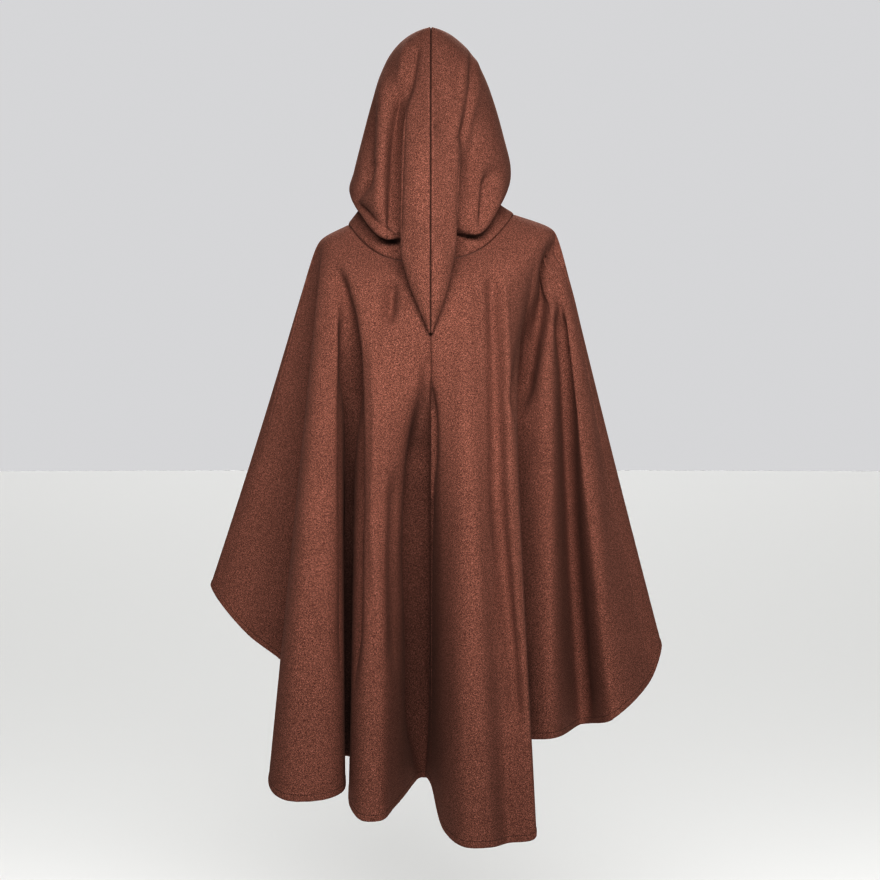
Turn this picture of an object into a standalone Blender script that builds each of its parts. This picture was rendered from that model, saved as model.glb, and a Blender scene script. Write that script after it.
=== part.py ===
# A hooded cloak of thick felted wool, hanging as it is worn, with no wearer in it.
# Metres, +Z up. The wearer faces +Y and the wearer's right is +X.
# The origin is in the middle of the neck, level with the shoulders.
#
# The body is four panels that hang from the neck seam: two backs, two fronts.
# Each crease line of the body is one row of a table. A crease leaves the neck seam at an angle,
# bends over the shoulder and falls to its own point on the hem.
# The hood is two halves, joined over the crown and down a long point at the back.

import math
from collections import namedtuple

import bmesh
import bpy
from mathutils import Vector

WALL = 0.0025  # thickness of the cloth
SEAM_GAP = 0.0003  # between two pieces that are sewn edge to edge
NECK_SEAM_GAP = 0.0008  # between the hood and the body, upwards

NECK_HALF_WIDTH = 0.143
NECK_BACK = 0.095
NECK_FRONT = 0.110
NECK_BACK_HEIGHT = -0.045
NECK_FRONT_HEIGHT = -0.062
NECK_SIDE_RISE = 0.080
SHOULDER_HALF_WIDTH = 0.208
SHOULDER_WIDER_RIGHT = 0.011  # the right shoulder is wider and the left one narrower by this
SHOULDER_BACK = 0.125
SHOULDER_FRONT = 0.120
SHOULDER_HEIGHT = 0.012
SHOULDER_EDGE_DROP = 0.100  # how much lower the cloth bends at the back and the front
SHOULDER_TILT = 0.009  # the right shoulder is this much higher
SHOULDER_ROUNDING = 0.018
HEM_HALF_WIDTH = 0.430  # the smooth oval that the hem would follow without folds
HEM_BACK = 0.240
HEM_FRONT = 0.220
FOLD_ONSET = 0.080  # how softly a fold begins, as a share of its own height
FOLD_SWELL = 2.0  # above 1, a fold gains most of its depth in its upper part
BREADTH_ABOVE = 0.400  # the share of a crease's breadth that it has at the shoulder

BODY_ROWS = (0, 0.02, 0.045, 0.075, 0.11, 0.16, 0.22, 0.30, 0.40, 0.52, 0.64, 0.76, 0.88, 1)
BACK_SAMPLES = (0.0, 0.15, 0.5, 0.85)  # between two creases of the back
FRONT_SAMPLES = (0.0, 0.22, 0.78)
ROUND_SAMPLES = (0.0, 0.5)  # across the breadth of one crease
HOOD_SAMPLES = ((0.0, 0.33, 0.67),) * 6 + ((0.0, 0.25, 0.5, 0.75),) * 3
HOOD_ROWS_PER_LEVEL = 2

WIRE_RADIUS = 0.0009
EYE_REACH = 0.0015
EYE_HALF_HEIGHT = 0.0045
HOOK_THROW = 0.0030
FASTENING_DROP = 0.050  # down the front edge, as a share of its length
FASTENING_FOOT = 0.024  # from the middle of the front to where the wire is sewn on
FASTENING_SLACK = 0.0006  # the cloth bends a little between the wire's two legs
EYE_STEPS = 8

WOOL_COLOUR = (0.205, 0.070, 0.047, 1)
STEEL_COLOUR = (0.20, 0.19, 0.18, 1)

# One crease line: the angle at which it leaves the neck (0 at centre back, -90 at the wearer's left),
# its point on the hem, the share of its fall at which the fold begins, its lean (1 is straight) and
# its breadth at the hem, for a fold that is round or a hollow that is wide.
Crease = namedtuple("Crease", "name angle x y z start lean breadth")
CREASES = (
    Crease("left_front_edge", -176, -0.012, 0.205, -0.930, 0.00, 1, 0),
    Crease("left_front_fold", -160, -0.052, 0.255, -0.940, 0.10, 1, 0.034),
    Crease("left_front_dip", -148, -0.092, 0.155, -0.925, 0.15, 1, 0.016),
    Crease("left_chest_fold", -137, -0.134, 0.232, -0.932, 0.10, 1, 0.036),
    Crease("left_chest_dip", -125, -0.176, 0.115, -0.890, 0.12, 1, 0.018),
    Crease("left_front_arm_fold", -114, -0.236, 0.160, -0.800, 0.05, 1, 0.040),
    Crease("left_front_arm_dip", -104, -0.276, 0.070, -0.722, 0.10, 1, 0),
    Crease("left_front_lobe", -97, -0.347, 0.088, -0.655, 0.00, 1, 0),
    Crease("left_tip", -90, -0.392, 0.055, -0.609, 0.00, 1, 0),
    Crease("left_seam", -87, -0.374, 0.024, -0.634, 0.00, 1, 0),
    Crease("left_lobe", -84, -0.318, -0.014, -0.690, 0.00, 1, 0),
    Crease("left_lobe_inner", -80, -0.253, -0.056, -0.732, 0.00, 1, 0),
    Crease("left_arm_dip", -76, -0.200, -0.072, -0.785, 0.03, 1, 0),
    Crease("fold_a_left", -71, -0.262, -0.215, -0.905, 0.05, 1, 0),
    Crease("fold_a_front", -61, -0.201, -0.266, -0.925, 0.05, 1, 0.060),
    Crease("fold_a_right", -53, -0.140, -0.235, -0.918, 0.05, 1, 0),
    Crease("gap", -43, -0.146, -0.050, -0.895, 0.05, 1, 0.012),
    Crease("fold_b_left", -34, -0.128, -0.240, -0.942, 0.06, 1, 0),
    Crease("fold_b_front", -23, -0.093, -0.273, -0.956, 0.05, 1, 0.030),
    Crease("fold_b_right", -13, -0.057, -0.215, -0.946, 0.15, 1, 0),
    Crease("recess", -5, -0.014, -0.034, -0.934, 0.18, 1, 0),
    Crease("centre_back", 0, 0.000, -0.105, -0.932, 0.18, 1, 0),
    Crease("fold_c_left", 5, 0.022, -0.222, -0.984, 0.15, 1, 0),
    Crease("fold_c_front", 14, 0.076, -0.283, -0.996, 0.05, 1, 0.040),
    Crease("fold_c_dip", 25, 0.124, -0.250, -0.997, 0.10, 1, 0),
    Crease("fold_c_right", 35, 0.168, -0.252, -0.988, 0.05, 1, 0),
    Crease("right_arm_dip", 62, 0.092, -0.060, -0.860, 0.00, 0.75, 0.016),
    Crease("right_lobe_fold", 73, 0.202, -0.122, -0.852, 0.00, 0.9, 0),
    Crease("right_lobe_dip", 79, 0.262, -0.010, -0.846, 0.05, 1, 0),
    Crease("right_lobe_front", 83, 0.306, -0.106, -0.822, 0.00, 1, 0),
    Crease("right_seam", 87, 0.382, -0.025, -0.765, 0.00, 1, 0),
    Crease("right_tip", 90, 0.404, 0.020, -0.709, 0.00, 1, 0),
    Crease("right_front_lobe", 97, 0.352, 0.065, -0.770, 0.00, 1, 0),
    Crease("right_front_arm_dip", 104, 0.283, 0.058, -0.815, 0.10, 1, 0),
    Crease("right_front_arm_fold", 114, 0.232, 0.165, -0.846, 0.05, 1, 0.042),
    Crease("right_chest_dip", 126, 0.156, 0.110, -0.900, 0.12, 1, 0.018),
    Crease("right_chest_fold", 137, 0.128, 0.238, -0.935, 0.10, 1, 0.034),
    Crease("right_front_dip", 149, 0.088, 0.150, -0.928, 0.15, 1, 0.016),
    Crease("right_front_fold", 161, 0.050, 0.250, -0.942, 0.10, 1, 0.030),
    Crease("right_front_edge", 176, 0.012, 0.205, -0.930, 0.00, 1, 0),
)

# One level of a hood half, from the crown down: the heights of its seam, back ridge, side and face
# edge; how far back the seam and the head's own curve reach; the half widths of the side, the
# hanging point, the valley beside it, the ridge beyond it and the face edge; the valley's depth.
Level = namedtuple(
    "Level",
    "name seam_z ridge_z side_z face_z seam_y back_y side_x point_x valley_x valley_in ridge_x face_x",
)
HOOD_LEFT = (
    Level("crown", 0.355, 0.356, 0.359, 0.350, -0.056, -0.055, 0.026, 0.006, 0.011, 0.000, 0.017, 0.010),
    Level("cap", 0.343, 0.344, 0.346, 0.338, -0.068, -0.067, 0.048, 0.012, 0.021, 0.000, 0.033, 0.022),
    Level("top", 0.318, 0.319, 0.322, 0.318, -0.087, -0.086, 0.070, 0.017, 0.030, 0.000, 0.045, 0.042),
    Level("upper", 0.280, 0.282, 0.285, 0.286, -0.110, -0.106, 0.088, 0.023, 0.035, 0.002, 0.054, 0.064),
    Level("brow", 0.235, 0.236, 0.240, 0.240, -0.130, -0.120, 0.102, 0.032, 0.041, 0.010, 0.066, 0.080),
    Level("eye", 0.175, 0.176, 0.180, 0.185, -0.146, -0.128, 0.118, 0.043, 0.043, 0.022, 0.078, 0.092),
    Level("cheek", 0.110, 0.106, 0.120, 0.125, -0.157, -0.132, 0.133, 0.046, 0.036, 0.036, 0.084, 0.095),
    Level("pouch", 0.035, -0.010, 0.088, 0.060, -0.163, -0.136, 0.140, 0.048, 0.026, 0.040, 0.074, 0.085),
    Level("tuck", -0.010, -0.002, 0.068, 0.015, -0.166, -0.110, 0.119, 0.048, 0.014, 0.030, 0.068, 0.055),
)
HOOD_RIGHT = (
    Level("crown", 0.355, 0.356, 0.359, 0.350, -0.056, -0.055, 0.025, 0.006, 0.011, 0.000, 0.017, 0.010),
    Level("cap", 0.343, 0.344, 0.346, 0.338, -0.068, -0.067, 0.046, 0.012, 0.021, 0.000, 0.032, 0.022),
    Level("top", 0.318, 0.319, 0.322, 0.318, -0.087, -0.086, 0.070, 0.018, 0.030, 0.000, 0.046, 0.042),
    Level("upper", 0.280, 0.282, 0.285, 0.286, -0.110, -0.106, 0.091, 0.025, 0.038, 0.001, 0.056, 0.064),
    Level("brow", 0.235, 0.236, 0.240, 0.240, -0.130, -0.120, 0.108, 0.035, 0.047, 0.003, 0.067, 0.080),
    Level("eye", 0.175, 0.176, 0.180, 0.185, -0.146, -0.128, 0.125, 0.045, 0.053, 0.007, 0.082, 0.092),
    Level("cheek", 0.110, 0.108, 0.126, 0.125, -0.157, -0.134, 0.137, 0.046, 0.050, 0.015, 0.088, 0.095),
    Level("pouch", 0.035, 0.000, 0.098, 0.060, -0.163, -0.136, 0.133, 0.043, 0.036, 0.026, 0.080, 0.085),
    Level("tuck", -0.010, 0.004, 0.074, 0.015, -0.166, -0.110, 0.107, 0.041, 0.018, 0.028, 0.070, 0.055),
)
# The hanging point below the neck seam: its height, how far back its two layers reach, its half widths.
Point = namedtuple("Point", "name z seam_y under_y half_left half_right")
HOOD_POINT = (
    Point("nape", -0.068, -0.167, -0.122, 0.0465, 0.0365),
    Point("middle", -0.098, -0.164, -0.130, 0.0380, 0.0290),
    Point("low", -0.130, -0.158, -0.137, 0.0245, 0.0195),
    Point("end", -0.156, -0.153, -0.140, 0.0130, 0.0105),
    Point("tip", -0.172, -0.150, -0.141, 0.0060, 0.0055),
)
CROWN_BACK = -0.050
CROWN_FRONT = 0.130
CROWN_HEIGHT = 0.365
CROWN_TOP = 0.35  # the highest place, as a share of the way from the back to the forehead
CROWN_ARCH = 0.052
CROWN_SPREAD = (0, 0.06, 0.11, 0.14, 0.17, 0.23, 0.32, 0.44, 0.74, 1)
HEAD_MIDDLE = 0.010
FACE_EDGE = 0.132
NEAR_SIDE = 0.9  # a line between the ridge and the side, as a share of the half width
NEAR_SIDE_HEIGHT = 0.6  # and of the way from the ridge's height to the side's
CHEEK_AHEAD = 0.6  # a line between the side and the face edge, as a share of the way forward
CHEEK_IN = 0.35
VALLEY_HEIGHT = 0.4  # the valley is at this share of the way from the seam's height to the ridge's
POINT_MIDDLE = 0.55  # a line between the point's seam and its edge, as a share of its half width
POINT_MIDDLE_DEPTH = 0.2
UNDER_MIDDLE = 0.55  # the same on the point's under side
TIP_MIDDLE = 0.6  # the same below the neck seam, where the point is flatter
TIP_MIDDLE_DEPTH = 0.12
TIP_WALL = 0.3  # the wall is at most this share of the point's half width
POINT_DEPTH = 0.022  # from the point's seam in to its edge
FULL_VALLEY = 0.036  # the valley depth at which the point stands quite free
NECK_ANGLES = (35, 62, 90, 130, 176)  # where the hood's last five lines meet the neck seam
NECK_START = 1.4
VALLEY_FOOT = 0.0035  # from the centre to the valley's foot at the neck seam
POINT_COLUMNS = 4  # this many spans of a hood half belong to the point


def blend(a, b, share):
    return a + (b - a) * share


def smooth_corner(distance):
    """Half of a straight ramp that starts at 0, with its corner rounded."""
    return 0.5 * (distance + math.hypot(distance, SHOULDER_ROUNDING))


def curve_through(before, start, end, after, share):
    """A point between start and end on a centripetal spline through the four points."""
    knots = [0.0]
    points = (before, start, end, after)
    for first, second in zip(points, points[1:]):
        knots.append(knots[-1] + max((second - first).length, 1e-9) ** 0.5)
    at = blend(knots[1], knots[2], share)
    layer = list(points)
    for step in (1, 2):
        for i in range(4 - step):
            layer[i] = blend(layer[i], layer[i + 1], (at - knots[i]) / (knots[i + step] - knots[i]))
    return blend(layer[0], layer[1], (at - knots[1]) / (knots[2] - knots[1]))


def padded(points):
    """The points with one more at each end, reflected, so that the curve runs through them all."""
    first = points[0] * 2 - points[1]
    last = points[-1] * 2 - points[-2]
    return [first, *points, last]


def spline(points, samples):
    """Points along the curve, and the index at which each given point lies."""
    ends = padded(points)
    found = []
    marks = []
    for i in range(len(points) - 1):
        marks.append(len(found))
        for share in samples[i]:
            found.append(curve_through(*ends[i : i + 4], share))
    marks.append(len(found))
    found.append(points[-1].copy())
    return found, marks


def neck_point(angle):
    across = math.sin(math.radians(angle))
    ahead = -math.cos(math.radians(angle))
    depth = NECK_FRONT if ahead > 0 else NECK_BACK
    low = NECK_FRONT_HEIGHT if ahead > 0 else NECK_BACK_HEIGHT
    height = blend(low, NECK_BACK_HEIGHT, across * across) + NECK_SIDE_RISE * abs(across) ** 3
    return Vector((NECK_HALF_WIDTH * across, depth * ahead, height + SHOULDER_TILT * across))


def shoulder_point(angle):
    across = math.sin(math.radians(angle))
    ahead = -math.cos(math.radians(angle))
    depth = SHOULDER_FRONT if ahead > 0 else SHOULDER_BACK
    wide = SHOULDER_HALF_WIDTH * across + SHOULDER_WIDER_RIGHT * across * across
    height = SHOULDER_HEIGHT + SHOULDER_TILT * across - SHOULDER_EDGE_DROP * ahead * ahead
    return Vector((wide, depth * ahead, height))


def crease_point(crease, share):
    """The crease's point at a share of its length from the neck seam to the hem."""
    neck = neck_point(crease.angle)
    edge = shoulder_point(crease.angle)
    depth = HEM_FRONT if abs(crease.angle) > 90 else -HEM_BACK
    plain_y = depth * math.sqrt(1 - (crease.x / HEM_HALF_WIDTH) ** 2)
    hem = Vector((crease.x, plain_y, crease.z))
    over = (edge - neck).length
    fall = (hem - edge).length
    distance = share * (over + fall)
    down = smooth_corner(distance - over) - smooth_corner(-over)
    place = neck + (edge - neck) / over * (distance - down) + (hem - edge) / fall * down
    fallen = min(max((distance - over) / fall, 0.0), 1.0)
    grown = max(fallen - crease.start, 0.0) / (1 - crease.start)
    soft = grown * (1 + FOLD_ONSET) / (grown + FOLD_ONSET)
    grown = soft * (1 - (1 - grown) ** FOLD_SWELL)
    place.y += (crease.y - plain_y) * grown
    place.x += (crease.x - edge.x) * (fallen**crease.lean - fallen)
    return place


def crease_lines():
    """The lines that the cloth runs through: a crease, or the two edges of one that has breadth."""
    lines = []
    for crease in CREASES:
        if not crease.breadth:
            lines.append(crease)
            continue
        onward = -1 if abs(crease.angle) > 90 else 1
        half = crease.breadth / 2
        turn = math.degrees(BREADTH_ABOVE * half / SHOULDER_HALF_WIDTH)
        for side in (-1, 1):
            lines.append(crease._replace(angle=crease.angle + side * turn, x=crease.x + side * onward * half))
    return lines


def body_surface():
    """The rows of the whole body's outer surface, and the column of each crease."""
    lines = crease_lines()
    samples = []
    for crease, following in zip(lines, lines[1:]):
        if crease.name == following.name:
            samples.append(ROUND_SAMPLES)
        elif abs(crease.angle) < 88:
            samples.append(BACK_SAMPLES)
        else:
            samples.append(FRONT_SAMPLES)
    rows = []
    marks = []
    for share in BODY_ROWS:
        row, marks = spline([crease_point(crease, share) for crease in lines], samples)
        rows.append(row)
    return rows, {crease.name: mark for crease, mark in zip(lines, marks)}


def grid_normals(rows, facing):
    """The normal at each point of a grid, where a missing point is None."""

    def neighbour(row, column, step_row, step_column):
        r, c = row + step_row, column + step_column
        inside = 0 <= r < len(rows) and 0 <= c < len(rows[r]) and rows[r][c] is not None
        return rows[r][c] if inside else rows[row][column]

    normals = []
    for r, row in enumerate(rows):
        normals.append([])
        for c, point in enumerate(row):
            if point is None:
                normals[-1].append(None)
                continue
            along = neighbour(r, c, 0, 1) - neighbour(r, c, 0, -1)
            down = neighbour(r, c, 1, 0) - neighbour(r, c, -1, 0)
            normals[-1].append(along.cross(down).normalized() * facing)
    return normals


def add_material(obj, name, colour, roughness, metallic):
    material = bpy.data.materials.get(name) or bpy.data.materials.new(name)
    material.use_nodes = True
    shader = material.node_tree.nodes["Principled BSDF"]
    shader.inputs["Base Color"].default_value = colour
    shader.inputs["Roughness"].default_value = roughness
    shader.inputs["Metallic"].default_value = metallic
    obj.data.materials.append(material)


def add_object(name, bm, collection):
    bmesh.ops.recalc_face_normals(bm, faces=bm.faces)
    mesh = bpy.data.meshes.new(name)
    bm.to_mesh(mesh)
    bm.free()
    mesh.shade_smooth()
    obj = bpy.data.objects.new(name, mesh)
    collection.objects.link(obj)
    return obj


def cloth_panel(name, outer, inner, collection):
    """A wall between two grids of the same shape. A point that is None leaves a hole in both."""
    bm = bmesh.new()
    inside = bm.verts.layers.float_vector.new("inside")
    rows, columns = len(outer), len(outer[0])
    made = bmesh.ops.create_grid(bm, x_segments=columns - 1, y_segments=rows - 1, size=1)
    unused = []
    for i, vert in enumerate(made["verts"]):
        row, column = divmod(i, columns)
        if outer[row][column] is None:
            unused.append(vert)
            continue
        vert.co = outer[row][column]
        vert[inside] = inner[row][column]
    bmesh.ops.delete(bm, geom=unused, context="VERTS")
    copied = bmesh.ops.extrude_face_region(bm, geom=bm.faces[:], use_keep_orig=True)
    for item in copied["geom"]:
        if isinstance(item, bmesh.types.BMVert):
            item.co = item[inside]
    obj = add_object(name, bm, collection)
    add_material(obj, "wool", WOOL_COLOUR, 0.9, 0.0)
    return obj


def trimmed(row, gap):
    """The row with each end moved in by half a gap."""
    first = (row[1] - row[0]).normalized() * gap / 2
    last = (row[-2] - row[-1]).normalized() * gap / 2
    return [row[0] + first, *row[1:-1], row[-1] + last]


def beside_centre(points, side):
    """The points, moved to their own side of the centre plane by half a seam."""
    kept = []
    for point in points:
        if point is not None:
            point = Vector((side * max(side * point.x, SEAM_GAP / 2), point.y, point.z))
        kept.append(point)
    return kept


def make_body(collection):
    rows, marks = body_surface()
    normals = grid_normals(rows, -1)
    panels = (
        ("front_left", "left_front_edge", "left_seam", -1),
        ("back_left", "left_seam", "centre_back", -1),
        ("back_right", "centre_back", "right_seam", 1),
        ("front_right", "right_seam", "right_front_edge", 1),
    )
    for name, first, last, side in panels:
        span = slice(marks[first], marks[last] + 1)
        outer = [beside_centre(trimmed(row[span], SEAM_GAP), side) for row in rows]
        inner = []
        for row, bent in zip(outer, normals):
            moved = [point - normal * WALL for point, normal in zip(row, bent[span])]
            inner.append(beside_centre(moved, side))
        cloth_panel(name, outer, inner, collection)
    return rows, normals


def level_points(level, side):
    """The ten points of a hood half at one level, from the centre seam to the face edge."""

    def head(x):
        return HEAD_MIDDLE + (level.back_y - HEAD_MIDDLE) * math.sqrt(1 - (x / level.side_x) ** 2)

    free = min(level.valley_in / FULL_VALLEY, 1.0)
    middle_x = POINT_MIDDLE * level.point_x
    middle_y = blend(head(middle_x), level.seam_y + POINT_MIDDLE_DEPTH * POINT_DEPTH, free)
    edge_y = blend(head(level.point_x), level.seam_y + POINT_DEPTH, free)
    valley_y = head(level.valley_x) + level.valley_in
    under_x = blend(level.point_x, level.valley_x, 0.5)
    valley_z = blend(level.seam_z, level.ridge_z, VALLEY_HEIGHT)
    near_x = NEAR_SIDE * level.side_x
    near_z = blend(level.ridge_z, level.side_z, NEAR_SIDE_HEIGHT)
    cheek_x = blend(level.side_x, level.face_x, CHEEK_IN)
    cheek_z = blend(level.side_z, level.face_z, 0.5)
    points = (
        (0, level.seam_y, level.seam_z),
        (middle_x, middle_y, level.seam_z),
        (level.point_x, edge_y, level.seam_z),
        (under_x, blend(edge_y, valley_y, 0.5), blend(level.seam_z, valley_z, 0.5)),
        (level.valley_x, valley_y, valley_z),
        (level.ridge_x, head(level.ridge_x), level.ridge_z),
        (near_x, head(near_x), near_z),
        (level.side_x, HEAD_MIDDLE, level.side_z),
        (cheek_x, CHEEK_AHEAD * FACE_EDGE, cheek_z),
        (level.face_x, FACE_EDGE, level.face_z),
    )
    return [Vector((side * x, y, z)) for x, y, z in points]


def crown_points(side):
    """The crown seam, from the back to the forehead."""
    points = []
    for share in CROWN_SPREAD:
        y = blend(CROWN_BACK, CROWN_FRONT, share)
        z = CROWN_HEIGHT - CROWN_ARCH * (share - CROWN_TOP) ** 2
        points.append(Vector((side * SEAM_GAP / 2, y, z)))
    return points


def neck_level(side):
    """The level of the neck seam, where the point's two layers part from it."""
    top = HOOD_POINT[0]
    half = top.half_left if side < 0 else top.half_right
    lift = Vector((0, 0, NECK_SEAM_GAP))
    back = neck_point(0)
    edge_y = top.seam_y + POINT_DEPTH
    points = [
        Vector((0, top.seam_y, back.z)),
        Vector((side * POINT_MIDDLE * half, top.seam_y + POINT_MIDDLE_DEPTH * POINT_DEPTH, back.z)),
        Vector((side * half, edge_y, back.z)),
        Vector((side * UNDER_MIDDLE * half, blend(edge_y, back.y, UNDER_MIDDLE), back.z)) + lift,
        Vector((side * VALLEY_FOOT, back.y, back.z)) + lift,
    ]
    return points + [neck_point(side * angle) + lift for angle in NECK_ANGLES]


def neck_edge(side):
    """The hood's lower edge, which follows the neck seam from beside the valley's foot to the front."""
    points = []
    angles = (NECK_START, *NECK_ANGLES)
    for first, last, samples in zip(angles, angles[1:], HOOD_SAMPLES[POINT_COLUMNS:]):
        for share in (*samples[1:], 1):
            points.append(neck_point(side * blend(first, last, share)) + Vector((0, 0, NECK_SEAM_GAP)))
    return points


def point_level(level, side):
    """The hanging point below the neck seam: its outer layer, its edge and its under layer."""
    half = level.half_left if side < 0 else level.half_right
    thick = level.under_y - level.seam_y
    return [
        Vector((0, level.seam_y, level.z)),
        Vector((side * TIP_MIDDLE * half, level.seam_y + TIP_MIDDLE_DEPTH * thick, level.z)),
        Vector((side * half, level.seam_y + 0.5 * thick, level.z)),
        Vector((side * TIP_MIDDLE * half, level.under_y - TIP_MIDDLE_DEPTH * thick, level.z)),
        Vector((0, level.under_y, level.z)),
    ]


def hood_surface(levels, side):
    """The rows of a hood half. Below the neck seam only the point's columns have points."""
    net = [crown_points(side)]
    net += [level_points(level, side) for level in levels]
    net.append(neck_level(side))
    upper = len(net)
    net += [point_level(level, side) for level in HOOD_POINT]
    columns = []
    for k in range(len(net[0])):
        line = [points[k] for points in net if k < len(points)]
        steps = [[i / HOOD_ROWS_PER_LEVEL for i in range(HOOD_ROWS_PER_LEVEL)]] * (len(line) - 1)
        columns.append(spline(line, steps)[0])
    rows = []
    width = sum(len(samples) for samples in HOOD_SAMPLES) + 1
    neck_row = (upper - 1) * HOOD_ROWS_PER_LEVEL
    for r in range(len(columns[0])):
        points = [column[r] for column in columns if r < len(column)]
        row, marks = spline(points, HOOD_SAMPLES)
        if r == neck_row:
            row[marks[POINT_COLUMNS] + 1 :] = neck_edge(side)
        rows.append(row + [None] * (width - len(row)))
    return rows, neck_row


def make_hood_half(name, levels, side, collection):
    rows, neck_row = hood_surface(levels, side)
    outer = [beside_centre(row, side) for row in rows]
    normals = grid_normals(outer, side)
    inner = []
    for r, row in enumerate(outer):
        inner.append([])
        for c, point in enumerate(row):
            if point is None:
                inner[-1].append(None)
                continue
            wall = WALL
            if r > neck_row:
                widest = max(side * other.x for other in row if other is not None)
                wall = min(WALL, TIP_WALL * widest)
            moved = point - normals[r][c] * wall
            if r == neck_row:
                moved.z = max(moved.z, point.z)
            inner[-1].append(moved)
    inner = [beside_centre(row, side) for row in inner]
    cloth_panel(name, outer, inner, collection)


def wire(name, points, collection):
    """A round wire through the points, with closed ends."""
    curve = bpy.data.curves.new(name, "CURVE")
    curve.dimensions = "3D"
    curve.bevel_depth = WIRE_RADIUS
    curve.bevel_resolution = 1
    curve.use_fill_caps = True
    line = curve.splines.new("POLY")
    line.points.add(len(points) - 1)
    for place, point in zip(line.points, points):
        place.co = (*point, 1)
    obj = bpy.data.objects.new(name, curve)
    collection.objects.link(obj)
    add_material(obj, "steel", STEEL_COLOUR, 0.35, 1.0)
    return obj


def point_across(row, normals, x):
    """The row's point at this x, near the front edge that the row begins with, and the normal there."""
    for first, second, normal in zip(row, row[1:], normals):
        if min(first.x, second.x) <= x <= max(first.x, second.x):
            return blend(first, second, (x - first.x) / (second.x - first.x)), normal
    return row[0], normals[0]


def make_fastening(rows, normals, collection):
    """A hook and an eye inside the two front edges, just below the neck seam."""
    r = min(range(len(BODY_ROWS)), key=lambda i: abs(BODY_ROWS[i] - FASTENING_DROP))
    depth = WALL + SEAM_GAP + WIRE_RADIUS + FASTENING_SLACK
    across = Vector((1, 0, 0))
    down = (rows[r + 1][0] - rows[r][0]).normalized()
    out = across.cross(down).normalized()

    def sewn(side, row, bent, d):
        point, normal = point_across(row, bent, side * FASTENING_FOOT)
        return point - normal * depth + down * d

    def place(x, d, o):
        middle = (rows[r][0] + rows[r][-1]) / 2
        return middle - out * (depth - o) + across * x + down * d

    eye = [sewn(-1, rows[r], normals[r], -EYE_HALF_HEIGHT)]
    for i in range(EYE_STEPS + 1):
        turn = math.pi * (i / EYE_STEPS - 0.5)
        x = EYE_REACH - EYE_HALF_HEIGHT * (1 - math.cos(turn))
        eye.append(place(x, EYE_HALF_HEIGHT * math.sin(turn), 0))
    eye.append(sewn(-1, rows[r], normals[r], EYE_HALF_HEIGHT))
    wire("eye", eye, collection)

    loop = 2 * WIRE_RADIUS + 2 * SEAM_GAP
    bend = EYE_REACH - HOOK_THROW
    hook = [sewn(1, rows[r][::-1], normals[r][::-1], 0), place(FASTENING_FOOT / 2, 0, 0)]
    for i in range(EYE_STEPS + 1):
        turn = math.pi * (1.5 - i / EYE_STEPS)
        hook.append(place(bend + loop * math.cos(turn), 0, loop * math.sin(turn)))
    hook.append(place(EYE_REACH + HOOK_THROW, 0, loop))
    wire("hook", hook, collection)


def main():
    for obj in list(bpy.data.objects):
        bpy.data.objects.remove(obj)
    collection = bpy.data.collections.new("hooded_cloak")
    bpy.context.scene.collection.children.link(collection)
    rows, normals = make_body(collection)
    make_hood_half("hood_left", HOOD_LEFT, -1, collection)
    make_hood_half("hood_right", HOOD_RIGHT, 1, collection)
    make_fastening(rows, normals, collection)


main()
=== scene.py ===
import math
from collections import namedtuple

import bmesh
import bpy
import numpy as np
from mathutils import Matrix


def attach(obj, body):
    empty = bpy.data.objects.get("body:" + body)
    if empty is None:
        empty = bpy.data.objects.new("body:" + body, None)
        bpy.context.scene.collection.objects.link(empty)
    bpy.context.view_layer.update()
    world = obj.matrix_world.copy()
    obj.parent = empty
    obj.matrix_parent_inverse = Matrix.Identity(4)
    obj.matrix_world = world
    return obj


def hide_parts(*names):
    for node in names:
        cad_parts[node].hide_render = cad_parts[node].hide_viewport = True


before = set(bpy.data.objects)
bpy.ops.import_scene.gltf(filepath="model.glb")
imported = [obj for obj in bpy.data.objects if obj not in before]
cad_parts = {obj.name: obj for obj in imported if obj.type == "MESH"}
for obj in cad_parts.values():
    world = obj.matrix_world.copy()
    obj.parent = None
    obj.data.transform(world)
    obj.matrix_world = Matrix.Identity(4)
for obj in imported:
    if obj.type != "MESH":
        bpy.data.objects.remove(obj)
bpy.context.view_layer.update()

# Metres, +Z up, the wearer faces +Y, and the camera stands behind. Left and right are the wearer's.
# The body hangs from the neck seam along crease lines, one row of the table for each.

view = {"lens": 70.13, "sensor": 36, "place": (0.0155, -3.0, -0.35), "clip": 200, "transform": "Standard",
        "gamma": 0.62}

wall = 0.0025  # thickness of the felted wool
neckSeamGap = -0.0005  # the hood laps over the rolled edge of the neck

neckCut = {"halfWidth": 0.143, "back": 0.095, "front": 0.110, "backHeight": -0.045,
           "frontHeight": -0.062, "sideRise": 0.080}
shoulders = {"halfWidth": 0.208, "widerRight": 0.011, "back": 0.125, "front": 0.120, "height": 0.012,
             "edgeDrop": 0.100, "tilt": 0.009, "rounding": 0.018}
hemOval = {"halfWidth": 0.430, "back": 0.240, "front": 0.220}
bodyCut = {"foldOnset": 0.080, "foldSwell": 2.0, "breadthAbove": 0.400, "breadthSamples": 5, "samples": 11,
           "rowStart": 0.0012, "rowGrow": 1.4, "rowStep": 0.0085,
           "hemSteps": (0.0012, 0.0018, 0.002, 0.0016, 0.001, 0.0008, 0.0008, 0.001, 0.0016, 0.0025, 0.004, 0.006),
           "pieces": (
               ("wool_front_left", "front_left", "left_front_edge", "left_seam", -1, (0.98, 1.02), 0.44),
               ("wool_back_left", "back_left", "left_seam", "centre_back", -1, (1.20, 1.02), 0.70),
               ("wool_back_right", "back_right", "centre_back", "right_seam", 1, (1.05, 1.05), 0.62),
               ("wool_front_right", "front_right", "right_seam", "right_front_edge", 1, (1.05, 1.02), 0.50))}

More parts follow.
